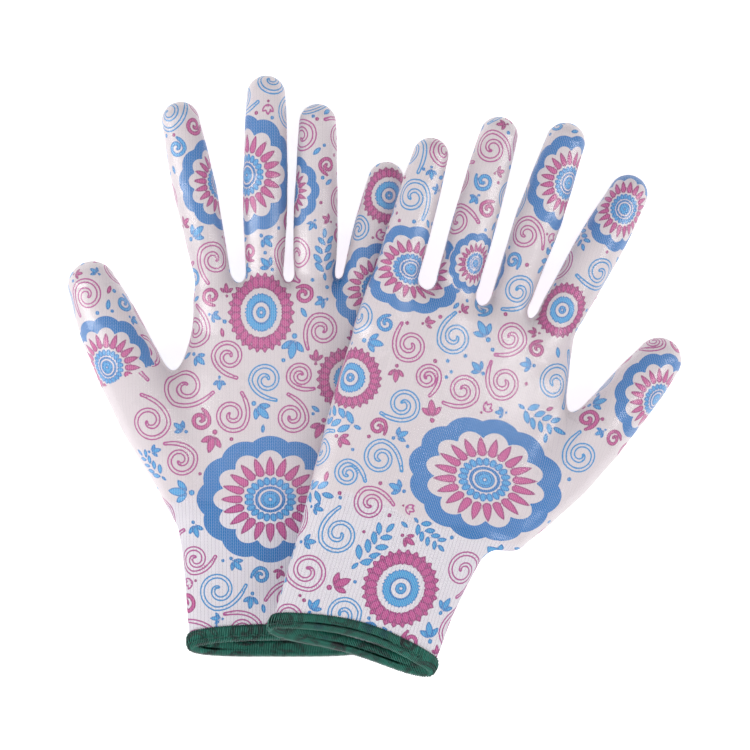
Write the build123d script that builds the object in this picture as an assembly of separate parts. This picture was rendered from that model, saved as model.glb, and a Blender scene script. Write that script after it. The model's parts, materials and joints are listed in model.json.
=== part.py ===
from build123d import *

import os
from collections import namedtuple
from math import cos, pi, radians, sin

# A pair of knitted, palm-dipped gardening gloves, palms up, the right one resting partly on the left.
# World frame: millimetres, +Z up from the floor, +Y towards the fingertips, origin on the floor under
# the middle of the pair.
#
# Each glove is drawn in its own frame: x across the hand, y from the hem towards the fingertips,
# z up out of the palm from the middle of the hand's thickness. In the tables "across" runs from the
# thumb (negative) to the little finger (positive), and SIDE turns it into x for either hand.

# Thicknesses
KNIT = 0.9              # knitted wall
FILM = 0.35             # dipped coating
FILM_GAP = 0.05         # between knit and coating
SLIT = 0.5              # gap between two rigid segments at a bend line

# Where the zones of a glove start, measured from the hem
HEM_DEPTH = 5.2         # depth of the overlock edging
HEM_OUT = 0.9           # how far the edging stands out of the knit
HEM_IN = 1.5            # and how far it reaches inside
CUFF_START = 0.8        # the knit's raw edge, inside the edging
CUFF_END = 45.0         # the bare wrist ends and the palm begins
DIP_LINE = 62.0         # the coating starts
OPENING_SLOPE = 0.8     # the palm side of the opening lies this much further up per millimetre of height

# Elastic yarns inside the cuff
ELASTIC_COUNT = 8
ELASTIC_PITCH = 4.5
ELASTIC_FIRST = 8.5
ELASTIC_WIDTH = 0.9
ELASTIC_DEPTH = 0.8
ELASTIC_GAP = 0.7       # between the knit and the yarn
ELASTIC_LENGTHS = 36    # a yarn's run is drawn as this many straight lengths

# Coating: it covers everything above this height, and the whole of the last part of each tip
FILM_LOW_EDGE = -3.5
DIPPED_TIP = 12.0

MID_HEIGHT = 11.7       # middle of the left hand's thickness above the floor: less than half the
                        # palm's thickness, so its back is pressed flat where it lies
SECTION_POWER = 2.5     # how square the palm's cross-section is: 2 is an ellipse

# across, along: middle of the finger at its root bend. heading: degrees towards the little finger.
# base, tip: lengths from root bend to middle bend, and on to the end. radii: at root bend, at middle
# bend, and of the round end. rise: height of the axis above the middle of the palm.
# stub: how far the finger reaches back into the palm, and its radius there.
Finger = namedtuple("Finger", "across along heading base tip radii rise stub stub_radius")

# along, thumb-side edge, little-finger-side edge, half thickness
Station = namedtuple("Station", "along thumb_edge little_edge half")

LEFT_FINGERS = {
    "thumb": Finger(-61.0, 117.5, -24.3, 21.0, 27.5, (14.0, 12.8, 10.2), 2.4, 54.0, 7.0),
    "index": Finger(-27.6, 164.0, -12.0, 29.0, 38.0, (8.0, 9.0, 7.7), 0.0, 26.0, 7.6),
    "middle": Finger(-4.4, 165.0, 0.5, 34.0, 42.0, (8.4, 9.9, 8.1), 0.0, 26.0, 8.0),
    "ring": Finger(16.8, 163.5, 1.2, 29.0, 36.5, (9.1, 9.5, 7.6), 0.0, 26.0, 8.4),
    "little": Finger(37.1, 157.0, 13.5, 21.5, 27.0, (8.5, 8.6, 7.2), 0.0, 24.0, 8.0),
}

RIGHT_FINGERS = {
    "thumb": Finger(-77.5, 115.0, -24.3, 23.0, 28.0, (12.2, 11.2, 9.6), 5.0, 44.0, 7.5),
    "index": Finger(-50.0, 162.0, -13.6, 28.0, 36.0, (9.3, 9.8, 8.1), 0.0, 26.0, 8.4),
    "middle": Finger(-26.8, 163.0, -3.4, 33.0, 41.5, (8.4, 9.7, 8.0), 0.0, 26.0, 8.2),
    "ring": Finger(-2.8, 162.0, 0.3, 31.0, 38.5, (9.1, 9.1, 7.7), 0.0, 26.0, 8.6),
    "little": Finger(23.2, 158.0, 0.0, 25.0, 31.5, (9.2, 8.6, 7.2), 0.0, 24.0, 8.6),
}

LEFT_PALM = [
    Station(0.0, -36.0, 38.0, 4.8),
    Station(22.0, -37.5, 37.5, 6.3),
    Station(45.0, -39.5, 38.0, 9.0),
    Station(62.0, -45.0, 40.0, 11.0),
    Station(78.0, -51.0, 43.0, 12.0),
    Station(108.0, -47.0, 46.0, 12.0),
    Station(138.0, -35.5, 46.8, 11.2),
    Station(151.0, -34.5, 45.5, 9.2),
]

RIGHT_PALM = [
    Station(0.0, -39.0, 33.0, 4.8),
    Station(22.0, -40.5, 32.5, 6.3),
    Station(45.0, -43.5, 32.5, 9.0),
    Station(62.0, -51.0, 33.0, 11.0),
    Station(78.0, -63.5, 33.8, 12.0),
    Station(108.0, -64.5, 34.0, 12.0),
    Station(138.0, -59.5, 33.5, 11.2),
    Station(151.0, -57.5, 32.0, 9.2),
]

Glove = namedtuple("Glove", "name side fingers palm place")

# Where each glove lies: the middle of its hem on the floor, its turn about +Z and, for the right one,
# the tilt that lifts its little-finger side on to the left glove and the dip of its fingers to the floor
LEFT_HEM_AT = (-42.0, -114.9)
RIGHT_HEM_AT = (-12.6, -114.1)
RIGHT_TURN = -16.5
RIGHT_TILT = 12.5
RIGHT_DIP = -1.7
RIGHT_HEIGHT = 30.3

LEFT = Glove("left", 1, LEFT_FINGERS, LEFT_PALM, Pos(*LEFT_HEM_AT, MID_HEIGHT))
RIGHT = Glove(
    "right", -1, RIGHT_FINGERS, RIGHT_PALM,
    Pos(*RIGHT_HEM_AT, RIGHT_HEIGHT) * Rot(0, 0, RIGHT_TURN) * Rot(0, RIGHT_TILT, 0) * Rot(RIGHT_DIP, 0, 0),
)

RING_POINTS = 16        # points of the smooth curve round one cross-section of the palm
FAR = 400.0             # larger than a glove


def heading_plane(side, finger, reach, rise=None):
    """A plane across a finger at a distance from its root bend, facing the fingertip."""
    angle = radians(finger.heading)
    height = finger.rise if rise is None else rise
    ahead = Vector(side * sin(angle), cos(angle), 0)
    across = Vector(cos(angle), -side * sin(angle), 0)
    at = Vector(side * finger.across, finger.along, height) + ahead * reach
    return Plane(origin=at, x_dir=across, z_dir=ahead)


def station_at(glove, along):
    """The hand's edges and thickness at any distance from the hem."""
    stations = glove.palm
    after = next(k for k in range(1, len(stations)) if along <= stations[k].along or k == len(stations) - 1)
    low, high = stations[after - 1], stations[after]
    share = (along - low.along) / (high.along - low.along)
    return Station(*(a + (b - a) * share for a, b in zip(low, high)))


def section_points(glove, station, grow, slope, count):
    """Points round one cross-section of the hand, grown outwards, leaning by the slope of the opening."""
    middle = (station.thumb_edge + station.little_edge) / 2
    half_width = (station.little_edge - station.thumb_edge) / 2 + grow
    half_height = station.half + grow
    points = []
    for k in range(count):
        turn = 2 * pi * k / count
        c, s = cos(turn), sin(turn)
        reach = (abs(c) ** SECTION_POWER + abs(s) ** SECTION_POWER) ** (-1 / SECTION_POWER)
        height = half_height * s * reach
        points.append((glove.side * middle + half_width * c * reach, station.along + slope * height, height))
    return points


def section(glove, station, grow, slope=0.0):
    """Smooth wire round one cross-section of the hand."""
    return Wire(Edge.make_spline(section_points(glove, station, grow, slope, RING_POINTS), periodic=True))


def wrist_volume(glove, start, end, grow):
    """Solid of the wrist between two lines parallel to its slanted opening, grown by an amount."""
    between = [station.along for station in glove.palm if start < station.along < end]
    lines = [start, *between, end]
    return Solid.make_loft([section(glove, station_at(glove, y), grow, OPENING_SLOPE) for y in lines])


def palm_volume(glove, grow):
    """Solid of the hand from the end of the cuff to the finger roots, grown by an amount."""
    last = glove.palm[-1]
    stations = [station for station in glove.palm[:-1] if station.along > CUFF_END]
    stations.append(last._replace(along=last.along + grow))
    wires = [section(glove, station_at(glove, CUFF_END), grow, OPENING_SLOPE)]
    wires += [section(glove, station, grow) for station in stations]
    return Solid.make_loft(wires)


def finger_volume(glove, finger, grow):
    """Solid of revolution of one finger from its root bend to its round end, grown by an amount."""
    root, middle, end = finger.radii
    length = finger.base + finger.tip
    side_line = Spline(
        (root + grow, -SLIT), (middle + grow, finger.base), (end + grow, length - end),
        tangents=[((middle - root) / finger.base, 1), (-0.04, 1)],
    )
    round_end = ThreePointArc(
        (end + grow, length - end),
        ((end + grow) * cos(pi / 4), length - end + (end + grow) * sin(pi / 4)),
        (0, length + grow),
    )
    close = Polyline((0, length + grow), (0, -SLIT), (root + grow, -SLIT))
    profile = make_face(side_line + round_end + close)
    upright = revolve(profile, axis=Axis.Y)
    return heading_plane(glove.side, finger, 0).location * Rot(90, 0, 0) * upright


def stub_volume(glove, finger, grow, end):
    """Solid that carries a finger's root back into the palm; it ends at a distance from the root bend."""
    front = heading_plane(glove.side, finger, end)
    back = heading_plane(glove.side, finger, -finger.stub, rise=0)
    front_ring = front * Circle(finger.radii[0] + grow)
    back_ring = back * Circle(finger.stub_radius + grow)
    return Solid.make_loft([back_ring.wire(), front_ring.wire()])


def hand_volume(glove, grow, finger_end):
    """Palm and finger roots as one solid, grown by an amount."""
    solid = palm_volume(glove, grow)
    for finger in glove.fingers.values():
        solid = solid + stub_volume(glove, finger, grow, finger_end)
    return solid


def hand_shell(glove, outside, inside):
    """The hand's wall between two amounts of growth, open at every root bend."""
    return hand_volume(glove, outside, -SLIT / 2) - hand_volume(glove, inside, SLIT)


def beyond(glove, finger, reach):
    """Everything further along a finger than a distance from its root bend."""
    size = 6 * max(finger.radii)
    return heading_plane(glove.side, finger, reach) * Box(
        size, size, FAR, align=(Align.CENTER, Align.CENTER, Align.MIN)
    )


def above(height):
    """Everything higher than a height in the glove's frame."""
    return Pos(0, 0, height) * Box(FAR, 2 * FAR, FAR, align=(Align.CENTER, Align.CENTER, Align.MIN))


def past_line(along):
    """Everything nearer the fingertips than a line across the hand."""
    return Pos(0, along, 0) * Box(FAR, FAR, FAR, align=(Align.CENTER, Align.MIN, Align.CENTER))


def make_palm_liner(glove):
    knit = hand_shell(glove, 0, -KNIT)
    if glove is LEFT:
        knit = knit & above(-MID_HEIGHT)
    return knit


def make_palm_coating(glove):
    film = hand_shell(glove, FILM_GAP + FILM, FILM_GAP)
    return film & past_line(DIP_LINE) & above(FILM_LOW_EDGE)


def make_cuff(glove):
    end = CUFF_END - FILM_GAP
    return wrist_volume(glove, CUFF_START, end, 0) - wrist_volume(glove, 0, CUFF_END, -KNIT)


def yarn_face(glove, station, grow):
    """Everything inside a yarn's run round the wrist, drawn as short straight lengths of yarn."""
    points = section_points(glove, station, grow, OPENING_SLOPE, ELASTIC_LENGTHS)
    return Face(Wire.make_polygon(points, close=True))


def make_cuff_elastic(glove):
    outside = -KNIT - ELASTIC_GAP
    rings = []
    for k in range(ELASTIC_COUNT):
        station = station_at(glove, ELASTIC_FIRST + ELASTIC_PITCH * k)
        ring = yarn_face(glove, station, outside) - yarn_face(glove, station, outside - ELASTIC_DEPTH)
        rings.append(Solid.extrude(ring.face(), Vector(0, ELASTIC_WIDTH, 0)))
    return Compound(children=rings)


def make_hem(glove):
    edging = wrist_volume(glove, 0, HEM_DEPTH, HEM_OUT) - wrist_volume(glove, -FILM, CUFF_END, -HEM_IN)
    groove = wrist_volume(glove, CUFF_START - FILM_GAP, CUFF_END, FILM_GAP)
    groove = groove - wrist_volume(glove, 0, CUFF_END, -KNIT - FILM_GAP)
    return edging - groove


def make_base_liner(glove, finger):
    knit = finger_volume(glove, finger, 0) - finger_volume(glove, finger, -KNIT)
    return (knit & beyond(glove, finger, SLIT / 2)) - beyond(glove, finger, finger.base - SLIT / 2)


def make_base_coating(glove, finger):
    film = finger_volume(glove, finger, FILM_GAP + FILM) - finger_volume(glove, finger, FILM_GAP)
    film = (film & beyond(glove, finger, SLIT / 2)) - beyond(glove, finger, finger.base - SLIT / 2)
    return film & above(FILM_LOW_EDGE)


def make_tip_liner(glove, finger):
    knit = finger_volume(glove, finger, 0) - finger_volume(glove, finger, -KNIT)
    return knit & beyond(glove, finger, finger.base + SLIT / 2)


def make_tip_coating(glove, finger):
    film = finger_volume(glove, finger, FILM_GAP + FILM) - finger_volume(glove, finger, FILM_GAP)
    film = film & beyond(glove, finger, finger.base + SLIT / 2)
    bare = beyond(glove, finger, 0) - above(FILM_LOW_EDGE)
    dipped = beyond(glove, finger, finger.base + finger.tip - DIPPED_TIP)
    return film - (bare - dipped)


def glove_nodes(glove):
    """Every node of one glove, by name, in the glove's own frame."""
    nodes = {
        "palm_liner": make_palm_liner(glove),
        "palm_coating": make_palm_coating(glove),
        "cuff": make_cuff(glove),
        "cuff_elastic": make_cuff_elastic(glove),
        "hem": make_hem(glove),
    }
    for name, finger in glove.fingers.items():
        nodes[f"{name}_base_liner"] = make_base_liner(glove, finger)
        nodes[f"{name}_base_coating"] = make_base_coating(glove, finger)
        nodes[f"{name}_tip_liner"] = make_tip_liner(glove, finger)
        nodes[f"{name}_tip_coating"] = make_tip_coating(glove, finger)
    return nodes


def main():
    os.makedirs("parts", exist_ok=True)
    for glove in (LEFT, RIGHT):
        for name, solid in glove_nodes(glove).items():
            export_step(glove.place * solid, f"parts/{glove.name}_{name}.step")


if __name__ == "__main__":
    main()
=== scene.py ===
import json
import math
from collections import namedtuple

import bpy
import numpy as np
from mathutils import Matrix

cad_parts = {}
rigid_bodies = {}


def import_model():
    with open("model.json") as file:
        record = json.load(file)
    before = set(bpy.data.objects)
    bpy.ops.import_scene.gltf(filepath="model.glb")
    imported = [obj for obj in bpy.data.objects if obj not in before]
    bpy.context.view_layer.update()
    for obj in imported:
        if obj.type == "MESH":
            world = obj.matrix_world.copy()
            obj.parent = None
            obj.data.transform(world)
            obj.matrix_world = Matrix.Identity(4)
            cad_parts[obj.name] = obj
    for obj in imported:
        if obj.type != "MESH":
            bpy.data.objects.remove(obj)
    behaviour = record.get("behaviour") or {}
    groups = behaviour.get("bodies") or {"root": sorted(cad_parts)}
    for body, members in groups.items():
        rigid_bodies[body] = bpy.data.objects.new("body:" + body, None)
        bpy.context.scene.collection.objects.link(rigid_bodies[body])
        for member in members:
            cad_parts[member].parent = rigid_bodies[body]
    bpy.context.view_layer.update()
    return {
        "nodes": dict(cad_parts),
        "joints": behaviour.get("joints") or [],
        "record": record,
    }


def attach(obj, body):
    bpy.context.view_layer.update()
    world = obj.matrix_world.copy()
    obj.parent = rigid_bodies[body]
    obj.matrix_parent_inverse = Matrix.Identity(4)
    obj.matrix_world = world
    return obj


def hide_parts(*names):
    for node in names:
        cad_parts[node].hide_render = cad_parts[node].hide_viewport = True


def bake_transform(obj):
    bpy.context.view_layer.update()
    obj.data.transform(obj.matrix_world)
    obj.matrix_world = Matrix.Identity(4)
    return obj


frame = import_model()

# A pair of knitted, palm-dipped gardening gloves. Each glove is worked out in its own hand frame, in
# millimetres: u runs from the thumb's side to the little finger's side, v from the hem towards the
# fingertips, and w out of the palm. Its place, its bend lines and its finger sizes come from the frame.

MM = 0.001
FINGERS = ("thumb", "index", "middle", "ring", "little")

KNIT = 0.8                  # thickness of the knitted wall
FILM_GAP = 0.06             # between the knit and the dipped film
FILM = 0.28                 # thickness of the film where it's full
OPENING_SLOPE = 0.8         # how much further up the wrist opening is per millimetre of height
HEM_TUCK = 1.5              # the knit's raw edge lies this far inside the edging
HEM_DEPTH = 5.6             # how far the edging reaches up the cuff
HEM_HALF = 1.80             # half the edging's thickness
HEM_POWER = 2.2             # 2 would make its section an ellipse
HEM_ARCH = {"left": 0.6, "right": 3.2}
WRAP_PITCH = 0.74           # from turn to turn of the wrapping thread
LOOP_PITCH = 0.92           # from loop to loop of the looper threads
THREAD_RADIUS = 0.36
LOOPER_RADIUS = 0.65 * THREAD_RADIUS
LOOPER_PLACE = (0.36, 0.78)  # of the edging's depth and half thickness, from its middle
LOOPER_SWING = (0.42, 0.16)  # how far a looper thread snakes along the hand and lifts
CORE_SHARE = (0.97, 0.9)    # the edging's body under its threads, of its depth and thickness
ELASTIC_RADIUS = 0.38
ELASTIC_DEPTH = 0.75        # the elastic's middle lies this far inside the knit
THREAD_SIDES = 5
ELASTIC_COUNT = 8
ELASTIC_PITCH = 4.5
ELASTIC_FIRST = 9.0
CUFF_END = 45.0
DIP_LINE = 62.0
FILM_EDGE = 0.04            # thickness of the film where it runs out
FILM_LOW_EDGE = -3.0        # the film wraps round the sides of the hand to this height
DIPPED_TIP = 13.0           # and covers all of the last part of each fingertip

COARSE = 1.4                # grid step of the shape; the printed skin is twice as fine

# Where the printed skin is cut between pieces, along a finger from its root bend, and how long that root bend
# is
ROOT_CUT = -5.0
THUMB_CUT = -2.0
CUT_MARGIN = 1.3
ROOT_BEND = 13.0
THUMB_BEND = 9.0

# along, thumb-side edge, little-finger-side edge, half thickness
LEFT_PALM = (
    (-12, -34.5, 38.5, 4.6),
    (0, -35.5, 38.3, 4.8),
    (22, -37.5, 37.5, 6.3),
    (42, -39.0, 37.5, 8.6),
    (56, -42.0, 39.0, 10.4),
    (72, -45.0, 42.0, 11.7),
    (92, -45.0, 45.0, 12.0),
    (112, -41.0, 46.5, 12.0),
    (132, -35.0, 47.0, 11.4),
    (150, -33.5, 46.0, 9.6),
    (165, -33.0, 45.0, 8.4),
)
RIGHT_PALM = (
    (-12, -38.0, 33.5, 4.6),
    (0, -38.5, 33.2, 4.8),
    (22, -40.0, 32.6, 6.3),
    (42, -43.0, 32.6, 8.6),
    (56, -46.5, 33.0, 10.4),
    (72, -53.0, 33.6, 11.7),
    (92, -60.0, 34.3, 12.0),
    (112, -63.0, 34.3, 12.0),
    (132, -60.5, 33.8, 11.4),
    (150, -57.5, 32.6, 9.6),
    (165, -56.0, 32.0, 8.4),
)
PALM_SMOOTHING = 11         # the outline is averaged this far either way
PALM_END = 153.0
PALM_END_ROUND = 9.0
SECTION_POWER = 2.4
FINGER_WEB = 6.0            # how softly a finger runs into the palm, and the thumb
THUMB_WEB = 11.0
CROTCH_ROUND = 2.4          # and one finger into the next
# How a root runs back into the palm: distance from the root bend and radius, for the usual root radius
FINGER_BACK = ((-26, 7.2), (-12, 7.6))
FINGER_BACK_ROOT = 8.6
FINGER_CARRIED = -24.0
THUMB_BACK = ((-56, 8.0), (-40, 11.5), (-22, 13.6))
THUMB_BACK_ROOT = 14.0
THUMB_CARRIED = -54.0
RESTING_SAG = 2.2           # how far a fingertip sags, on the glove that lies on the floor
RAISED_SAG = 0.8            # and on the one above it
CLOSE_FINGERS = ("left_middle", "left_ring")
CLOSE_WAIST = 0.45          # these two lie so near each other that they are slimmer at the middle bend

Finger = namedtuple("Finger", "name root ahead base length radii start")
Glove = namedtuple("Glove", "name side origin axes fingers palm rest_flat")


# ---------------------------------------------------------------- the gloves, read from the frame

def joint(name):
    return next(j for j in frame["joints"] if j["name"] == name)


def node_points(name):
    """A CAD node's corners in millimetres in the row frame."""
    mesh = frame["nodes"][name].data
    points = np.zeros(len(mesh.vertices) * 3)
    mesh.vertices.foreach_get("co", points)
    return points.reshape(-1, 3) / MM


def to_hand(glove, points):
    return (np.asarray(points) - glove.origin) @ glove.axes.T


def to_row(glove, points):
    return np.asarray(points) @ glove.axes + glove.origin


def read_finger(glove, name):
    """A finger's axis, lengths and radii, from the frame's hinges and the CAD nodes it moves."""
    full = f"{glove.name}_{name}"
    hinge = to_hand(glove, np.array(joint(full + "_root_bend")["pos_m"]) / MM)
    knuckle = to_hand(glove, np.array(joint(full + "_middle_bend")["pos_m"]) / MM)
    ahead = knuckle[:2] - hinge[:2]
    base = float(np.linalg.norm(ahead))
    ahead = np.append(ahead / base, 0.0)

    root_nodes = to_hand(glove, node_points(full + "_base_liner"))
    along = (root_nodes - hinge) @ ahead
    ring = root_nodes[along < 1.5]
    root_radius = (ring[:, 2].max() - ring[:, 2].min()) / 2
    height = (ring[:, 2].max() + ring[:, 2].min()) / 2
    ring = root_nodes[along > base - 1.5]
    middle_radius = (ring[:, 2].max() - ring[:, 2].min()) / 2

    tip_nodes = to_hand(glove, node_points(full + "_tip_liner"))
    along = (tip_nodes - hinge) @ ahead
    length = float(along.max())
    ring = tip_nodes[(along > length - 11) & (along < length - 6)]
    end_radius = (ring[:, 2].max() - ring[:, 2].min()) / 2

    root = np.array([hinge[0], hinge[1], height])
    start = THUMB_CUT if name == "thumb" else ROOT_CUT
    return Finger(full, root, ahead, base, length, (root_radius, middle_radius, end_radius), start)


def read_glove(name, side, palm):
    """A glove's own frame, from its wrist mount and a hinge, and its fingers."""
    wrist = next(m for m in frame["record"]["mounts"] if m["name"] == name + "_wrist")
    v_axis = -np.array(wrist["axis"], float)
    v_axis /= np.linalg.norm(v_axis)
    w_axis = np.cross(joint(name + "_middle_root_bend")["axis"], v_axis)
    w_axis /= np.linalg.norm(w_axis)
    u_axis = side * np.cross(v_axis, w_axis)
    origin = np.array(wrist["pos_m"]) / MM
    rests = name == frame["joints"][0]["parent"].split("_")[0]
    glove = Glove(name, side, origin, np.array([u_axis, v_axis, w_axis]), {}, smooth_palm(palm),
                  origin[2] if rests else None)
    for finger in FINGERS:
        glove.fingers[finger] = read_finger(glove, finger)
    return glove


def smooth_palm(stations):
    """The palm's outline at every millimetre, rounded between its stations."""
    table = np.array(stations, float)
    fine = np.arange(table[0, 0] - 20, table[-1, 0] + 20, 1.0)
    window = np.hanning(2 * PALM_SMOOTHING + 1)
    window /= window.sum()
    columns = [fine]
    for k in (1, 2, 3):
        values = np.interp(fine, table[:, 0], table[:, k])
        padded = np.pad(values, PALM_SMOOTHING, mode="edge")
        columns.append(np.convolve(padded, window, mode="valid"))
    return np.array(columns)


# ---------------------------------------------------------------- the shape of the hand

def smooth_min(a, b, reach):
    h = np.clip(1 - np.abs(a - b) / reach, 0, 1)
    return np.minimum(a, b) - h * h * reach / 4


def smooth_max(a, b, reach):
    return -smooth_min(-a, -b, reach)


def palm_distance(glove, p):
    """Roughly the distance to the palm and wrist, negative inside."""
    fine, thumb_edge, little_edge, half = glove.palm
    low = np.interp(p[:, 1], fine, thumb_edge)
    high = np.interp(p[:, 1], fine, little_edge)
    b = np.interp(p[:, 1], fine, half)
    a = (high - low) / 2
    x = np.abs(p[:, 0] - (low + high) / 2) / a
    z = np.abs(p[:, 2]) / b
    q = SECTION_POWER
    size = (x ** q + z ** q) ** (1 / q) + 1e-9
    slope = np.hypot((x / size) ** (q - 1) / a, (z / size) ** (q - 1) / b)
    section = (size - 1) / np.maximum(slope, 0.4 / a)
    return smooth_max(section, p[:, 1] - PALM_END, PALM_END_ROUND)


def is_thumb(finger):
    return finger.name.endswith("thumb")


def finger_radius(finger, t):
    """The finger's radius at distances from its root bend."""
    root, middle, end = finger.radii
    cap = finger.length - end
    back, usual = (THUMB_BACK, THUMB_BACK_ROOT) if is_thumb(finger) else (FINGER_BACK, FINGER_BACK_ROOT)
    back = [(at, radius * root / usual) for at, radius in back]
    close = finger.name in CLOSE_FINGERS
    pad = middle * 0.45 + end * 0.55 + (0.1 if close else 0.35)
    table = np.array(back + [(0, root), (finger.base, middle), ((finger.base + cap) / 2, pad), (cap, end)])
    radius = np.interp(t, table[:, 0], table[:, 1])
    return radius - CLOSE_WAIST * np.exp(-((t - finger.base - 4) / 14) ** 2) if close else radius


def finger_line(glove, finger, t):
    """Points on a finger's middle line: it sags to the floor a little towards its tip."""
    share = np.clip(t / finger.length, 0, 1)
    sag = (RESTING_SAG if glove.rest_flat else RAISED_SAG) * share ** 2
    line = finger.root + t[:, None] * finger.ahead
    line[:, 2] -= sag
    back = np.clip(-t / 50, 0, 1)
    line[:, 2] -= back * finger.root[2]
    return line


def finger_distance(glove, finger, p):
    """The distance to one finger and the root that carries it into the palm."""
    back = THUMB_CARRIED if is_thumb(finger) else FINGER_CARRIED
    t = np.clip((p - finger.root) @ finger.ahead, back, finger.length - finger.radii[2])
    return np.linalg.norm(p - finger_line(glove, finger, t), axis=1) - finger_radius(finger, t)


def unevenness(p):
    """Slow swells of the cloth, in millimetres."""
    u, v, w = p.T
    swell = np.sin(u / 9.1 + v / 13.7 + 0.6) * np.sin(v / 10.3 - u / 17.9 + w / 11.0)
    ripple = np.sin(u / 4.7 - v / 8.1 + w / 5.3) * np.sin(v / 5.9 + u / 12.1)
    wrist = np.exp(-((v - 56) / 9) ** 2) * np.sin(v / 1.9 + 0.7 * np.sin(u / 9.0))
    return 0.16 * swell + 0.07 * ripple + 0.12 * wrist


def hand_distance(glove, p):
    """Roughly the distance to the outside of the knit, negative inside."""
    palm = palm_distance(glove, p)
    total, grown = palm, np.zeros(len(p))
    for name, finger in glove.fingers.items():
        web = THUMB_WEB if name == "thumb" else FINGER_WEB
        joined = smooth_min(palm, finger_distance(glove, finger, p), web)
        both = np.clip(np.minimum(palm - joined, grown) / 1.5, 0.001, 1)
        total = smooth_min(total, joined, CROTCH_ROUND * both)
        grown = np.maximum(grown, palm - joined)
    total = total + unevenness(p)
    if glove.rest_flat:
        total = smooth_max(total, -(p[:, 2] + glove.rest_flat - 0.1), 1.5)
    return total


def slopes(glove, p, step=0.06):
    """Distance and its gradient, from four samples round each point."""
    corners = np.array([(1, -1, -1), (-1, -1, 1), (-1, 1, -1), (1, 1, 1)], float)
    samples = [hand_distance(glove, p + c * step) for c in corners]
    gradient = sum(s[:, None] * c for s, c in zip(samples, corners)) / (4 * step)
    return sum(samples) / 4, gradient


def settle(glove, p, rounds):
    """Moves points on to the surface and returns them with the outward normals there."""
    for _ in range(rounds):
        d, g = slopes(glove, p)
        size = np.maximum((g * g).sum(1), 0.05)
        move = np.clip(d / size, -1.5, 1.5)
        p = p - g * move[:, None]
    _, g = slopes(glove, p)
    return p, g / np.linalg.norm(g, axis=1)[:, None]


# ---------------------------------------------------------------- from shape to mesh

def hand_grid(glove):
    """Distances on a regular grid round the glove, its lowest corner and its step."""
    tips = np.array([f.root + f.ahead * f.length for f in glove.fingers.values()])
    low = np.array([min(tips[:, 0].min(), glove.palm[1].min()) - 16, -8.0, -19.0])
    high = np.array([max(tips[:, 0].max(), glove.palm[2].max()) + 16, tips[:, 1].max() + 12, 21.0])
    count = np.ceil((high - low) / COARSE).astype(int)
    lines = [low[k] + COARSE * np.arange(count[k]) for k in range(3)]
    field = np.empty(count, np.float32)
    vv, ww = np.meshgrid(lines[1], lines[2], indexing="ij")
    for i, u in enumerate(lines[0]):
        points = np.stack([np.full(vv.size, u), vv.ravel(), ww.ravel()], axis=1)
        field[i] = hand_distance(glove, points).reshape(vv.shape)
    return field, low


def surface_nets(field, low):
    """Quads over the zero surface of a grid of distances, one corner per crossed cell, facing outwards."""
    inside = field < 0
    shape = np.array(field.shape) - 1
    total = np.zeros(tuple(shape) + (3,), np.float32)
    count = np.zeros(tuple(shape), np.int32)
    for axis in range(3):
        others = [k for k in range(3) if k != axis]
        for i in (0, 1):
            for j in (0, 1):
                near = [None] * 3
                near[axis] = slice(0, shape[axis])
                near[others[0]] = slice(i, i + shape[others[0]])
                near[others[1]] = slice(j, j + shape[others[1]])
                far = list(near)
                far[axis] = slice(1, shape[axis] + 1)
                a, b = field[tuple(near)], field[tuple(far)]
                crossed = (a < 0) != (b < 0)
                share = np.where(crossed, a / np.where(crossed, a - b, 1), 0)
                total[..., axis] += np.where(crossed, share, 0)
                total[..., others[0]] += np.where(crossed, i, 0)
                total[..., others[1]] += np.where(crossed, j, 0)
                count += crossed
    used = count > 0
    number = np.full(tuple(shape), -1)
    number[used] = np.arange(used.sum())
    cells = np.argwhere(used)
    points = low + COARSE * (cells + total[used] / count[used][:, None])

    quads = []
    for axis in range(3):
        first, second = (axis + 1) % 3, (axis + 2) % 3
        core = [slice(1, -1)] * 3
        core[axis] = slice(0, -1)
        ahead = list(core)
        ahead[axis] = slice(1, None)
        a, b = inside[tuple(core)], inside[tuple(ahead)]
        spots = np.argwhere(a != b)
        offset = np.ones(3, int)
        offset[axis] = 0
        spots = spots + offset
        leaving = inside[tuple(spots.T)]
        around = []
        for d1, d2 in ((-1, -1), (0, -1), (0, 0), (-1, 0)):
            cell = spots.copy()
            cell[:, first] += d1
            cell[:, second] += d2
            around.append(number[tuple(cell.T)])
        quad = np.stack(around, axis=1)
        quad[~leaving] = quad[~leaving][:, ::-1]
        quads.append(quad)
    quads = np.concatenate(quads)
    return points, quads[(quads >= 0).all(1)]


def relax(glove, points, quads, rounds=3):
    """Evens out the mesh by moving each corner towards the middle of its neighbours, on the surface."""
    for _ in range(rounds):
        total = np.zeros_like(points)
        count = np.zeros(len(points))
        for k in range(4):
            a, b = quads[:, k], quads[:, (k + 1) % 4]
            np.add.at(total, a, points[b])
            np.add.at(total, b, points[a])
            np.add.at(count, a, 1)
            np.add.at(count, b, 1)
        middle = total / np.maximum(count, 1)[:, None]
        points = points + 0.6 * (middle - points)
        points, _ = settle(glove, points, 1)
    return points


def quad_edges(quads):
    """The unique edges of some quads, and for each quad the numbers of its four edges."""
    pairs = np.stack([quads, np.roll(quads, -1, axis=1)], axis=2).reshape(-1, 2)
    ordered = np.sort(pairs, axis=1)
    unique, number = np.unique(ordered, axis=0, return_inverse=True)
    return unique, number.reshape(-1, 4)


Skin = namedtuple("Skin", "points normals quads fine_points fine_normals edges edge_numbers")


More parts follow.
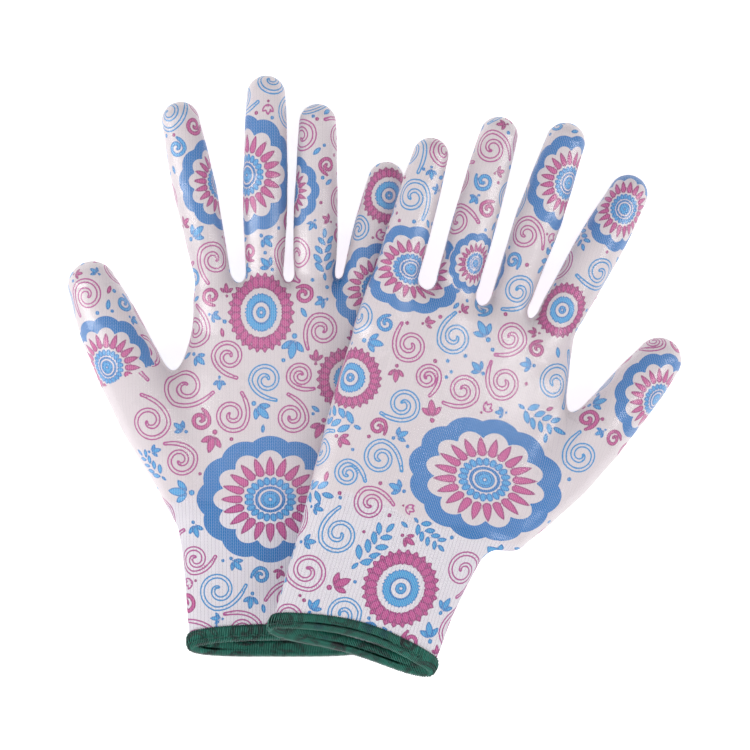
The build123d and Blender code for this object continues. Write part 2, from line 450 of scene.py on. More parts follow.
def make_skin(glove):
    """The coarse surface of a whole glove and the corners of its finer copy."""
    points, quads = surface_nets(*hand_grid(glove))
    points, _ = settle(glove, points, 2)
    points = relax(glove, points, quads)
    points, normals = settle(glove, points, 2)
    edges, edge_numbers = quad_edges(quads)
    middles = points[edges].mean(axis=1)
    centres = points[quads].mean(axis=1)
    fine, fine_normals = settle(glove, np.concatenate([points, middles, centres]), 2)
    return Skin(points, normals, quads, fine, fine_normals, edges, edge_numbers)


def fine_quads(skin, chosen):
    """The four small quads inside each chosen coarse quad."""
    corners = skin.quads[chosen]
    middles = skin.edge_numbers[chosen] + len(skin.points)
    centre = np.flatnonzero(chosen) + len(skin.points) + len(skin.edges)
    parts = []
    for k in range(4):
        parts.append(np.stack([corners[:, k], middles[:, k], centre, middles[:, k - 1]], axis=1))
    return np.concatenate(parts)


def open_edges(skin, chosen):
    """Edges with a chosen quad on one side only, in that quad's direction, with their edge numbers."""
    numbers = skin.edge_numbers[chosen]
    uses = np.bincount(numbers.ravel(), minlength=len(skin.edges))
    rim = uses[numbers] == 1
    quads = skin.quads[chosen]
    ahead = np.roll(quads, -1, axis=1)
    return quads[rim], ahead[rim], numbers[rim]


def shell(skin, chosen, outside, inside):
    """A closed shell over the chosen quads: fine outer skin, coarse inner skin and a rim between them.
    outside and inside are how far each skin stands off the knit's surface, one number per corner."""
    fine = fine_quads(skin, chosen)
    inner = skin.quads[chosen][:, ::-1]
    start, end, edge = open_edges(skin, chosen)
    middle = edge + len(skin.points)
    shift = len(skin.fine_points)
    rim = np.stack([end, middle, start, start + shift, end + shift], axis=1)
    outer_points = skin.fine_points + skin.fine_normals * outside[:, None]
    inner_points = skin.points + skin.normals * inside[:, None]
    points = np.concatenate([outer_points, inner_points])
    normals = np.concatenate([skin.fine_normals, -skin.normals])
    return points, normals, [fine, inner + shift, rim]


def make_mesh(name, glove, points, normals, groups, materials, attributes):
    """A mesh object from hand-frame points and groups of faces, one material for each group."""
    used = np.unique(np.concatenate([g.ravel() for g in groups]))
    renumber = np.zeros(len(points), int)
    renumber[used] = np.arange(len(used))
    groups = [renumber[g] for g in groups]
    if glove.side < 0:
        groups = [g[:, ::-1] for g in groups]
    mesh = bpy.data.meshes.new(name)
    mesh.vertices.add(len(used))
    mesh.vertices.foreach_set("co", (to_row(glove, points[used]) * MM).astype(np.float32).ravel())
    corners = np.concatenate([g.ravel() for g in groups])
    sizes = np.concatenate([np.full(len(g), g.shape[1]) for g in groups])
    mesh.loops.add(len(corners))
    mesh.loops.foreach_set("vertex_index", corners.astype(np.int32))
    mesh.polygons.add(len(sizes))
    mesh.polygons.foreach_set("loop_start", (np.cumsum(sizes) - sizes).astype(np.int32))
    slots = np.concatenate([np.full(len(g), k) for k, g in enumerate(groups)])
    mesh.polygons.foreach_set("material_index", slots.astype(np.int32))
    for material in materials:
        mesh.materials.append(material)
    mesh.update(calc_edges=True)
    mesh.shade_smooth()
    rows = normals[used] @ glove.axes
    mesh.normals_split_custom_set_from_vertices(rows.astype(np.float32))
    for key, values in attributes.items():
        kind = "FLOAT_VECTOR" if values.ndim == 2 else "FLOAT"
        field = "vector" if values.ndim == 2 else "value"
        layer = mesh.attributes.new(key, kind, "POINT")
        layer.data.foreach_set(field, values[used].astype(np.float32).ravel())
    piece = bpy.data.objects.new(name, mesh)
    bpy.context.scene.collection.objects.link(piece)
    return piece


# ---------------------------------------------------------------- the print

def flat_chart(glove, points, normals):
    """Where each point would lie if the cloth were pressed flat, in millimetres, and which side it is on."""
    lean = np.arccos(np.clip(np.abs(normals[:, 2]), 0, 1))
    sideways = normals[:, :2] / np.maximum(np.linalg.norm(normals[:, :2], axis=1), 1e-6)[:, None]
    half = np.interp(points[:, 1], glove.palm[0], glove.palm[3])
    palm = palm_distance(glove, points)
    for finger in glove.fingers.values():
        t = (points - finger.root) @ finger.ahead
        near = finger_distance(glove, finger, points) < palm - 0.3
        half = np.where(near, finger_radius(finger, t), half)
    flat = points[:, :2] + sideways * (half * (lean - np.sin(lean)))[:, None]
    return flat, normals[:, 2] > 0


LAYERS = ("blue", "sky", "rose", "sky_line", "rose_line")
NO_INK = 9.0


def add(layers, layer, where, distance):
    layers[layer][where] = np.minimum(layers[layer][where], distance)


def clear(layers, where, distance):
    """Takes the ink away where a distance is below zero."""
    for layer in LAYERS:
        layers[layer][where] = np.maximum(layers[layer][where], -distance)


def lay_over(layers, layer, where, distance, gap=0.0):
    """Adds a shape on top of what is there, so that its own edge shows all round."""
    clear(layers, where, distance - gap)
    add(layers, layer, where, distance)


def ellipse(x, y, a, b):
    """Roughly the distance to an ellipse."""
    size = np.hypot(x / a, y / b) + 1e-9
    slope = np.hypot(x / (a * a), y / (b * b)) / size + 1e-9
    return (size - 1) / np.maximum(slope, 0.3 / max(a, b))


def leaf(x, y, length, width):
    """Distance to a leaf from the origin along +x, pointed at both ends."""
    radius = (length ** 2 + width ** 2) / (4 * width)
    rise = radius - width / 2
    return np.hypot(x - length / 2, np.abs(y) + rise) - radius


def petal(x, y, length, width):
    """Distance to a petal from the origin along +x: round near the origin, pointed at its far end."""
    ball = np.hypot(x - width * 0.5, y) - width * 0.5
    point = leaf(x + length * 0.45, y, length * 1.45, width)
    return np.where(x < width * 0.5, ball, np.minimum(ball, point))


def turned(x, y, angle):
    """The same points seen from axes turned by an angle."""
    c, s = math.cos(angle), math.sin(angle)
    return c * x + s * y, c * y - s * x


def polar_fold(x, y, count, phase=0.0):
    """Folds the plane into one of count equal sectors, about its middle line."""
    step = 2 * math.pi / count
    folded = (np.arctan2(y, x) - phase + step / 2) % step - step / 2
    radius = np.hypot(x, y)
    return radius * np.cos(folded), radius * np.sin(folded)


def scallop(x, y, radius, count, depth):
    """Distance to a round outline with count lobes."""
    lobe = np.abs(np.cos(count * np.arctan2(y, x) / 2)) ** 0.75
    return np.hypot(x, y) - radius * (1 - depth + depth * lobe)


def stroke_distance(x, y, path, widths):
    """Distance to a stroke of changing half-width along a run of straight pieces."""
    best = np.full(len(x), 1e9)
    for k in range(len(path) - 1):
        (ax, ay), (bx, by) = path[k], path[k + 1]
        dx, dy = bx - ax, by - ay
        t = np.clip(((x - ax) * dx + (y - ay) * dy) / (dx * dx + dy * dy + 1e-12), 0, 1)
        width = widths[k] + t * (widths[k + 1] - widths[k])
        best = np.minimum(best, np.hypot(x - ax - t * dx, y - ay - t * dy) - width)
    return best


def curl_path(radius, turns, tail, unwind):
    """A spiral round the origin that unwinds from its eye into an open, gently curved tail."""
    angle = np.linspace(0, turns * 2 * math.pi, 34)
    grow = radius * (0.16 + 0.84 * angle / angle[-1])
    path = [(r * math.cos(a), r * math.sin(a)) for r, a in zip(grow, angle)]
    (x, y), heading = path[-1], angle[-1] + math.pi / 2
    steps = 9
    for k in range(steps):
        heading += unwind * (1 - 0.8 * k / steps)
        x += tail / steps * math.cos(heading)
        y += tail / steps * math.sin(heading)
        path.append((x, y))
    return np.array(path)


# Each small motif has a drawing function and a footprint of circles that keeps its neighbours away.
# size is its reach in millimetres.

def curl_shape(size, solid):
    turns = 1.2 if solid else 1.45
    path = curl_path(size, turns, size * (1.7 if solid else 2.2), 0.20 if solid else 0.23)
    share = np.linspace(0, 1, len(path))
    taper = np.clip((1 - share) / 0.05, 0.75, 1) * np.clip(0.55 + share * 2.5, 0, 1)
    return path, taper * (0.24 * size if solid else 0.74)


def draw_hollow_curl(layers, where, x, y, size, colour):
    add(layers, colour + "_line", where, stroke_distance(x, y, *curl_shape(size, False)))


def draw_solid_curl(layers, where, x, y, size, colour):
    add(layers, colour, where, stroke_distance(x, y, *curl_shape(size, True)))


def curl_footprint(size, solid):
    path, _ = curl_shape(size, solid)
    margin = 0.8 if solid else 1.0
    tail = [(x, y, margin) for x, y in path[-9::2]]
    return [(0, 0, size + margin), *tail]


def sprig_leaves(size):
    """Where each leaf of a sprig starts, its direction and its length."""
    leaves = []
    for k in range(4):
        x = size * (-0.8 + 0.42 * k)
        y = size * 0.10 * math.sin(1.3 * k)
        reach = size * (0.64 - 0.03 * k)
        leaves += [(x, y + 0.04 * size, 0.80, reach), (x + 0.08 * size, y - 0.04 * size, -0.80, reach)]
    leaves.append((size * 0.78, size * 0.02, 0.0, size * 0.52))
    leaves.append((-size * 1.22, -size * 0.03, 0.1, size * 0.4))
    return leaves


def draw_sprig(layers, where, x, y, size, colour):
    for at_x, at_y, angle, reach in sprig_leaves(size):
        shape = leaf(*turned(x - at_x, y - at_y, angle), reach, reach * 0.46)
        lay_over(layers, colour, where, shape)


def sprig_footprint(size):
    return [(size * k, 0, size * 0.37) for k in (-1.0, -0.5, 0.0, 0.5, 1.0)]


def draw_bud(layers, where, x, y, size, colour):
    """Three leaves fanned out over a dot."""
    for angle in (0.85, -0.85, 0.0):
        reach = size * (1.5 if angle == 0 else 1.2)
        shape = leaf(*turned(x + 0.50 * size, y, angle), reach, reach * 0.43)
        lay_over(layers, colour, where, shape, 0.1)
    add(layers, colour, where, np.hypot(x + 0.85 * size, y) - 0.22 * size)


def bud_footprint(size):
    return [(0.15 * size, 0, size * 0.85), (-0.8 * size, 0, 0.35 * size)]


def draw_open_bud(layers, where, x, y, size, colour):
    """The same bud in outline only."""
    for angle in (0.62, 0.0, -0.62):
        reach = size * (1.4 if angle == 0 else 1.2)
        petal_shape = leaf(*turned(x + 0.42 * size, y, angle), reach, reach * 0.42)
        add(layers, colour + "_line", where, petal_shape + STROKE_OFFSET)
    add(layers, colour, where, np.hypot(x + 0.85 * size, y) - 0.2 * size)


def draw_leaf(layers, where, x, y, size, colour):
    add(layers, colour, where, leaf(x + size, y, 2 * size, 0.85 * size))


def leaf_footprint(size):
    return [(-0.5 * size, 0, 0.55 * size), (0.5 * size, 0, 0.55 * size)]


def draw_dot(layers, where, x, y, size, colour):
    add(layers, colour, where, np.hypot(x, y) - size)


STROKE_OFFSET = 0.1
Motif = namedtuple("Motif", "draw footprint size tries rose_share")
MOTIFS = (
    Motif(draw_hollow_curl, lambda size: curl_footprint(size, False), 7.4, 1500, 0.55),
    Motif(draw_sprig, sprig_footprint, 10.5, 1200, 0.06),
    Motif(draw_hollow_curl, lambda size: curl_footprint(size, False), 5.8, 2400, 0.5),
    Motif(draw_sprig, sprig_footprint, 8.2, 1200, 0.06),
    Motif(draw_solid_curl, lambda size: curl_footprint(size, True), 3.7, 1800, 0.65),
    Motif(draw_bud, bud_footprint, 5.0, 3000, 0.35),
    Motif(draw_bud, bud_footprint, 4.0, 3000, 0.4),
    Motif(draw_open_bud, bud_footprint, 3.4, 700, 0.7),
    Motif(draw_bud, bud_footprint, 3.1, 3000, 0.45),
    Motif(draw_leaf, leaf_footprint, 2.3, 500, 0.3),
    Motif(draw_dot, lambda size: [(0, 0, size)], 0.85, 420, 0.4),
)
SPACING = 0.15              # least gap between motifs
SIZE_SPREAD = (0.88, 1.12)

# part of the glove, drawing, place, radius along the hand, and how much wider it is across the hand
Flower = namedtuple("Flower", "part draw u v size stretch")


def draw_rosette(layers, where, x, y, size):
    """Big flower: a lobed blue band, white lobes, a ring of rose petals, blue petals and a ringed eye."""
    outer = scallop(x, y, size, 12, 0.075)
    inner = scallop(x, y, size * 0.775, 12, 0.16)
    clear(layers, where, outer - 0.7)
    add(layers, "blue", where, np.maximum(outer, -inner))
    fx, fy = polar_fold(x, y, 20)
    add(layers, "rose", where, petal(fx - size * 0.372, fy, size * 0.315, size * 0.122))
    fx, fy = polar_fold(x, y, 20, math.pi / 20)
    add(layers, "sky", where, ellipse(fx - size * 0.288, fy, size * 0.068, size * 0.045))
    radius = np.hypot(x, y)
    add(layers, "blue", where, np.abs(radius - size * 0.185) - size * 0.022)
    add(layers, "sky", where, radius - size * 0.135)
    add(layers, "blue", where, np.abs(radius - size * 0.095) - size * 0.012)
    clear(layers, where, radius - size * 0.022)


def draw_sunburst(layers, where, x, y, size):
    """Smaller flower: narrow rose petals in two rows round a toothed blue disc with a white ring."""
    radius = np.hypot(x, y)
    clear(layers, where, radius - size * 1.02)
    for phase, reach in ((0.0, 0.42), (math.pi / 26, 0.33)):
        fx, fy = polar_fold(x, y, 26, phase)
        lay_over(layers, "rose", where, leaf(fx - size * 0.60, fy, size * reach, size * 0.20))
    teeth = np.abs((np.arctan2(y, x) * 32 / (2 * math.pi)) % 1 - 0.5) * 2
    disc = radius - size * (0.44 + 0.07 * teeth)
    add(layers, "sky", where, np.maximum(disc, size * 0.25 - radius))
    add(layers, "blue", where, np.abs(radius - size * 0.28) - size * 0.02)
    add(layers, "sky", where, radius - size * 0.15)
    clear(layers, where, radius - size * 0.04)


LEFT_FLOWERS = (
    Flower("hand", draw_rosette, -1.7, 63.0, 26.5, 1.16),
    Flower("hand", draw_rosette, 43.0, 151.0, 19.0, 1.0),
    Flower("hand", draw_sunburst, -5.5, 141.0, 16.8, 0.83),
    Flower("hand", draw_sunburst, 31.5, 113.0, 14.0, 1.0),
    Flower("thumb", draw_rosette, -70.0, 118.0, 21.5, 1.0),
    Flower("index", draw_rosette, -20.4, 196.0, 20.0, 1.0),
    Flower("middle", draw_rosette, -12.9, 198.7, 25.3, 0.95),
    Flower("ring", draw_rosette, 2.9, 192.0, 16.0, 1.0),
    Flower("little", draw_sunburst, 48.0, 190.0, 12.5, 1.0),
)
RIGHT_FLOWERS = (
    Flower("hand", draw_rosette, -34.7, 84.0, 25.5, 1.32),
    Flower("hand", draw_rosette, 19.5, 159.0, 18.0, 1.3),
    Flower("hand", draw_rosette, -6.0, 169.0, 13.0, 0.9),
    Flower("hand", draw_sunburst, -14.0, 31.0, 16.5, 1.0),
    Flower("hand", draw_sunburst, -47.0, 161.0, 12.0, 0.9),
    Flower("hand", draw_sunburst, 31.5, 109.0, 13.0, 1.0),
    Flower("index", draw_rosette, -61.0, 209.0, 18.5, 0.95),
    Flower("middle", draw_rosette, -35.5, 212.5, 20.5, 0.95),
    Flower("thumb", draw_rosette, -97.0, 136.0, 20.5, 1.0),
)
BACK_SHIFT = (23.0, -19.0)  # the back's flowers lie this far from the palm side's
FLOWER_REACH = 1.1
FINGER_PRINT_START = -3.0   # a finger has a print of its own from here on, measured from its root bend


def clear_of_flowers(circles, flowers):
    for flower in flowers:
        gap = np.hypot((circles[:, 0] - flower.u) / flower.stretch, circles[:, 1] - flower.v)
        if (gap < flower.size + circles[:, 2] + SPACING).any():
            return False
    return True


def finger_place(finger, flat):
    """Distances along and across a finger of places in the flat print."""
    away = flat - finger.root[:2]
    return away @ finger.ahead[:2], away @ np.array([finger.ahead[1], -finger.ahead[0]])


def on_hand(glove, circles):
    """Whether a motif's middle is off every finger, so that it belongs to the hand."""
    middle = circles[:, :2].mean(axis=0)
    for finger in glove.fingers.values():
        along, across = finger_place(finger, middle)
        if along > 2 and abs(across) < 1.7 * max(finger.radii):
            return False
    return True


def on_finger(finger, circles):
    """Whether the whole of a motif lies on one finger's own print."""
    along, across = finger_place(finger, circles[:, :2])
    width = 1.6 * max(finger.radii)
    return (along - circles[:, 2] > FINGER_PRINT_START).all() and (np.abs(across) < width).any()


def scatter(rng, box, fits, flowers, taken, share):
    """Places small motifs in the gaps: a list of them, and all the circles that are now taken."""
    placed = []
    for motif in MOTIFS:
        for _ in range(int(motif.tries * share)):
            u, v = rng.uniform(*box)
            turn, scale = rng.uniform(0, 2 * math.pi), rng.uniform(*SIZE_SPREAD)
            colour = "rose" if rng.random() < motif.rose_share else "sky"
            circles = np.array(motif.footprint(motif.size * scale), float)
            x, y = turned(circles[:, 0], circles[:, 1], -turn)
            circles = np.column_stack([x + u, y + v, circles[:, 2]])
            away = circles[:, None, :2] - taken[None, :, :2]
            gaps = np.hypot(away[..., 0], away[..., 1])
            room = circles[:, None, 2] + taken[None, :, 2] + SPACING
            if (gaps < room).any() or not fits(circles) or not clear_of_flowers(circles, flowers):
                continue
            taken = np.vstack([taken, circles])
            placed.append((motif, u, v, motif.size * scale, turn, colour))
    return placed, taken


def draw_motifs(layers, flat, chosen, placed):
    for motif, u, v, size, turn, colour in placed:
        reach = max(math.hypot(x, y) + r for x, y, r in motif.footprint(size)) + 2
        dx, dy = flat[:, 0] - u, flat[:, 1] - v
        where = np.flatnonzero(chosen & (dx * dx + dy * dy < reach ** 2))
        motif.draw(layers, where, *turned(dx[where], dy[where], turn), size, colour)


def draw_flowers(layers, flat, chosen, flowers):
    for flower in flowers:
        x, y = (flat[:, 0] - flower.u) / flower.stretch, flat[:, 1] - flower.v
        where = np.flatnonzero(chosen & (x * x + y * y < (FLOWER_REACH * flower.size) ** 2))
        flower.draw(layers, where, x[where], y[where], flower.size)


def print_side(glove, layers, flat, chosen, owner, flowers, seed):
    """Prints one side of a glove: first the hand, then what each finger adds."""
    rng = np.random.default_rng(seed)
    on_palm = [f for f in flowers if f.part == "hand"]
    box = (glove.palm[1].min() - 8, -8), (glove.palm[2].max() + 8, PALM_END + 14)
    placed, taken = scatter(rng, box, lambda circles: on_hand(glove, circles), on_palm, np.zeros((0, 3)), 1.0)
    draw_motifs(layers, flat, chosen, placed)
    for name, finger in glove.fingers.items():
        own = [f for f in flowers if f.part == name]
        ends = np.array([finger.root[:2], (finger.root + finger.ahead * finger.length)[:2]])
        box = ends.min(axis=0) - 16, ends.max(axis=0) + 16
        placed, _ = scatter(rng, box, lambda circles: on_finger(finger, circles), own + on_palm, taken, 0.35)
        mine = chosen & (owner == name)
        draw_motifs(layers, flat, mine, placed)
        draw_flowers(layers, flat, mine, own)
    draw_flowers(layers, flat, chosen, on_palm)


def print_layers(glove, points, normals, flowers, seed):
    """The print over a whole glove, the palm side and the back each with their own, and its flat chart."""
    flat, front = flat_chart(glove, points, normals)
    layers = {layer: np.full(len(points), NO_INK) for layer in LAYERS}
    owner = np.full(len(points), "hand", dtype=object)
    nearest = np.full(len(points), 1e9)
    for name, finger in glove.fingers.items():
        distance = finger_distance(glove, finger, points)
        along, _ = finger_place(finger, points[:, :2])
        closer = (distance < nearest) & (along > FINGER_PRINT_START)
        owner[closer] = name
        nearest = np.where(closer, distance, nearest)
    u, v = BACK_SHIFT
    behind = tuple(f._replace(u=f.u + u, v=f.v + v) for f in flowers if f.part == "hand")
    print_side(glove, layers, flat, front, owner, flowers, seed)
    print_side(glove, layers, flat, ~front, owner, behind, seed + 50)
    return layers, flat


# ---------------------------------------------------------------- which cloth belongs to which piece

def finger_reach(finger, points):
    """How far along a finger points are, and whether they are on it."""
    away = points - finger.root
    t = away @ finger.ahead
    across = away[:, 0] * finger.ahead[1] - away[:, 1] * finger.ahead[0]
    width = max(finger.radii) + 3.0
    return t, (t > finger.start) & (np.abs(across) < width)


def assign(glove, centres):
    """The piece each coarse quad belongs to: hidden, cuff, palm, or a finger's base or tip."""
    owner = np.full(len(centres), "palm", dtype=object)
    sloped = centres[:, 1] - OPENING_SLOPE * centres[:, 2]
    edge = HEM_TUCK + opening_arch(glove, centres[:, 0])
    owner[sloped < CUFF_END] = "cuff"
    owner[sloped < edge] = "hidden"
    for name, finger in glove.fingers.items():
        t, on = finger_reach(finger, centres)
        owner[on] = name + "_base"
        owner[on & (t > tip_cut(finger))] = name + "_tip"
    return owner


def bend_length(finger):
    return THUMB_BEND if is_thumb(finger) else ROOT_BEND


def root_zone(finger):
    """Where along a finger its root bend starts and ends."""
    start = finger.start + CUT_MARGIN
    return start, start + bend_length(finger)


def tip_cut(finger):
    return root_zone(finger)[1] + CUT_MARGIN


def film_amount(glove, points):
    """How much dipped film is on the cloth, 0 to 1, with soft, slightly wavy edges."""
    wave = 1.2 * np.sin(points[:, 0] / 7.0) + 0.8 * np.sin(points[:, 0] / 2.9 + 1.0)
    line = np.clip((points[:, 1] - DIP_LINE - wave) / 2.5 + 0.5, 0, 1)
    side_wave = 0.7 * np.sin(points[:, 1] / 5.0) + 0.4 * np.sin(points[:, 1] / 2.3)
    front = np.clip((points[:, 2] - FILM_LOW_EDGE - side_wave) / 2.0 + 0.5, 0, 1)
    for finger in glove.fingers.values():
        t, on = finger_reach(finger, points)
        dipped = np.clip((t - finger.length + DIPPED_TIP) / 2.0 + 0.5, 0, 1) * on
        front = np.maximum(front, dipped)
    return line * front


def ride_or_bend(glove, piece, part):
    """Hangs a palm or cuff piece on the palm's body; any other piece has its placing baked into its mesh."""
    palm = glove.name + "_palm"
    if part in ("palm", "cuff"):
        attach(piece, palm)
        return
    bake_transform(piece)


# ---------------------------------------------------------------- materials

class Nodes:
    """Short names for building a material's node tree."""

    def __init__(self, name):
        self.material = bpy.data.materials.new(name)
        self.material.use_nodes = True
        self.tree = self.material.node_tree
        self.tree.nodes.clear()
        self.output = self.tree.nodes.new("ShaderNodeOutputMaterial")

    def node(self, kind, **inputs):
        node = self.tree.nodes.new(kind)
        for key, value in inputs.items():
            self.set(node.inputs[key.replace("_", " ")], value)
        return node

    def set(self, socket, value):
        if isinstance(value, bpy.types.NodeSocket):
            self.tree.links.new(value, socket)
        else:
            socket.default_value = value

    def math(self, operation, a, b=0.0, c=0.0):
        node = self.tree.nodes.new("ShaderNodeMath")
        node.operation = operation
        for socket, value in zip(node.inputs, (a, b, c)):
            self.set(socket, value)
        return node.outputs[0]

    def off_middle(self, value):
        """How far a value's fraction is from a half."""
        return self.math("ABSOLUTE", self.math("SUBTRACT", self.math("FRACT", value), 0.5))

    def range(self, value, low, high, to_low=0.0, to_high=1.0, smooth=False):
        node = self.tree.nodes.new("ShaderNodeMapRange")
        node.interpolation_type = "SMOOTHSTEP" if smooth else "LINEAR"
        for key, item in zip(("Value", "From Min", "From Max", "To Min", "To Max"),
                             (value, low, high, to_low, to_high)):
            self.set(node.inputs[key], item)
        return node.outputs["Result"]

    def mix(self, share, a, b, kind="MIX"):
        node = self.tree.nodes.new("ShaderNodeMix")
        node.data_type = "RGBA"
        node.blend_type = kind
        self.set(node.inputs["Factor"], share)
        self.set(node.inputs["A"], a)
        self.set(node.inputs["B"], b)
        return node.outputs["Result"]

    def attribute(self, name, output="Fac"):
        node = self.tree.nodes.new("ShaderNodeAttribute")
        node.attribute_name = name
        return node.outputs[output]

    def noise(self, vector, scale, detail=2.0, roughness=0.5):
        node = self.node("ShaderNodeTexNoise", Vector=vector, Scale=scale, Detail=detail, Roughness=roughness)
        return node.outputs["Fac"]

    def split(self, vector):
        return self.node("ShaderNodeSeparateXYZ", Vector=vector).outputs

    def principled(self, colour, normal, roughness, sheen=0.0, specular=0.5):
        """Ends the material with a principled surface."""
        shader = self.node("ShaderNodeBsdfPrincipled", Base_Color=colour, Normal=normal, Roughness=roughness)
        shader.inputs["Sheen Weight"].default_value = sheen
        shader.inputs["Specular IOR Level"].default_value = specular
        self.tree.links.new(shader.outputs[0], self.output.inputs["Surface"])
        return self.material

    def bump(self, height, strength, distance):
        return self.node("ShaderNodeBump", Height=height, Strength=strength, Distance=distance).outputs[0]


def srgb(code):
    """A linear colour from a hex colour."""
    parts = [int(code[k:k + 2], 16) / 255 for k in (0, 2, 4)]
    linear = [c / 12.92 if c <= 0.04045 else ((c + 0.055) / 1.055) ** 2.4 for c in parts]
    return (*linear, 1.0)


WHITE_DIPPED = srgb("e3dbdf")
WHITE_BARE = srgb("f1ecf4")
BLUE = srgb("0078c2")
SKY = srgb("3da6e2")
SKY_EDGE = srgb("1880c8")
ROSE = srgb("c94a95")
ROSE_EDGE = srgb("a0307a")
SKY_LINE = srgb("2796d8")
ROSE_LINE = srgb("b84494")
# painted shade: the colour of the gaps between stitches on bare white cloth
GAP_SHADE_ON_WHITE = srgb("9a8b9f")
HEM_GREEN = srgb("0a5244")
HEM_LIGHT = srgb("258c78")
HEM_DEEP = srgb("06302c")
HEM_UNDER_BLUE = srgb("0b4350")
HEM_UNDER_ROSE = srgb("17161d")
INSIDE_LIGHT = srgb("e6e2e6")
# painted shade for the low parts of the inside's knit
INSIDE_GAP_SHADE = srgb("a7a2ab")
YARN_LIGHT = srgb("dcdce2")
YARN_DEEP = srgb("c4c4cc")
EDGE_WIDTH = 0.46           # darker outline of each printed leaf and petal
STROKE_HALF = 0.30          # half the width of a drawn line
WALE = 1.55                 # width of one knitted stitch
COURSE = 1.26               # and its height


def stitch_height(n, place):
    """Height of the knit at a place in millimetres: two slanting legs to each stitch."""
    x, y, _ = n.split(place)
    column = n.math("MULTIPLY", x, 1 / WALE)
    across = n.off_middle(column)
    off_leg = n.math("ABSOLUTE", n.math("SUBTRACT", across, 0.25))
    leg = n.range(off_leg, 0.25, 0.02, smooth=True)
    slant = n.math("ADD", n.math("MULTIPLY", y, 1 / COURSE), n.math("MULTIPLY", across, 1.6))
    loop = n.off_middle(slant)
    yarn = n.range(loop, 0.5, 0.12, smooth=True)
    return n.math("MULTIPLY", leg, n.math("MULTIPLY_ADD", yarn, 0.75, 0.25))


def mask(n, distance, soft=0.10):
    """1 where a distance is below zero, with an edge as soft as ink on yarn."""
    return n.range(distance, soft, -soft)


def gap_dots(n, place):
    """The small gaps between the columns of stitches, 0 to 1: painted shade on bare cloth, undyed yarn under
    ink.
    """
    x, y, _ = n.split(place)
    column = n.math("MULTIPLY", x, 1 / WALE)
    off_column = n.off_middle(column)
    shifted = n.math("MULTIPLY_ADD", n.math("FLOOR", column), 0.5, n.math("MULTIPLY", y, 1 / COURSE))
    off_row = n.off_middle(shifted)
    beside = n.range(off_column, 0.36, 0.48, smooth=True)
    return n.math("MULTIPLY", beside, n.range(off_row, 0.25, 0.07, smooth=True))


def ink_colour(n, ground, ragged):
    """The print over a ground colour, and how much ink covers each place."""
    colour, cover = ground, 0.0
    for fill, edge, name in ((SKY, SKY_EDGE, "sky"), (ROSE, ROSE_EDGE, "rose"), (BLUE, BLUE, "blue")):
        distance = n.math("ADD", n.attribute(name), ragged)
        ink = n.mix(n.range(distance, -EDGE_WIDTH - 0.1, -EDGE_WIDTH + 0.1), fill, edge)
        share = mask(n, distance)
        colour = n.mix(share, colour, ink)
        cover = n.math("MAXIMUM", cover, share)
    for ink, name in ((SKY_LINE, "sky_line"), (ROSE_LINE, "rose_line")):
        distance = n.math("ADD", n.attribute(name), ragged)
        share = mask(n, n.math("SUBTRACT", n.math("ABSOLUTE", distance), STROKE_HALF), 0.12)
        colour = n.mix(n.math("MULTIPLY", share, 0.95), colour, ink)
    return colour, cover


def raggedness(n, place, amount):
    """How far the print's edges wander, from stitch to stitch."""
    return n.math("MULTIPLY_ADD", n.noise(place, 1.3, 3.0, 0.7), 2 * amount, -amount)


def printed_knit():
    """Knitted cloth with its print; the dipped part is smoother and a little warmer."""
    n = Nodes("printed_knit")
    place = n.attribute("knit_place", "Vector")
    film = n.attribute("film")
    stitch = stitch_height(n, place)
    dots = gap_dots(n, place)
    colour, cover = ink_colour(n, n.mix(film, WHITE_BARE, WHITE_DIPPED), raggedness(n, place, 0.16))

    # Painted shade in the gaps between stitch columns, strong on bare cloth and weaker under the film; under
    # ink the gaps are drawn lighter, as undyed yarn.
    plain = n.range(film, 0, 1, 0.9, 0.30)
    depth = n.math("MULTIPLY", dots, n.math("ADD", plain, n.math("MULTIPLY", cover, 0.35)))
    shade = n.mix(cover, GAP_SHADE_ON_WHITE, n.mix(0.30, colour, WHITE_BARE))
    colour = n.mix(depth, colour, shade)
    # Where the stitch legs lie low: a little painted shade on bare cloth, and lighter undyed yarn through the
    # ink.
    legs = n.math("MULTIPLY", n.range(stitch, 0.45, 0.05), n.range(cover, 0, 1, 0.05, 0.75))
    colour = n.mix(legs, colour, shade)
    worn = n.range(n.noise(place, 0.07, 3.0), 0.35, 0.7, 0.0, 0.03)
    colour = n.mix(worn, colour, WHITE_DIPPED)

    fuzz = n.noise(place, 4.0, 4.0, 0.7)
    height = n.math("MULTIPLY_ADD", fuzz, 0.25, stitch)
    normal = n.bump(height, n.range(film, 0, 1, 0.6, 0.2), 0.0006)
    return n.principled(colour, normal, n.range(film, 0, 1, 0.85, 0.5), sheen=0.05, specular=0.25)


def plain_knit():
    """The unprinted inside of the cloth, with painted shade where its stitches lie low."""
    n = Nodes("plain_knit")
    place = n.attribute("knit_place", "Vector")
    stitch = stitch_height(n, place)
    colour = n.mix(n.range(stitch, 0.0, 0.6, 0.3, 0.0), INSIDE_LIGHT, INSIDE_GAP_SHADE)
    normal = n.bump(stitch, 0.5, 0.0006)
    return n.principled(colour, normal, 0.9)


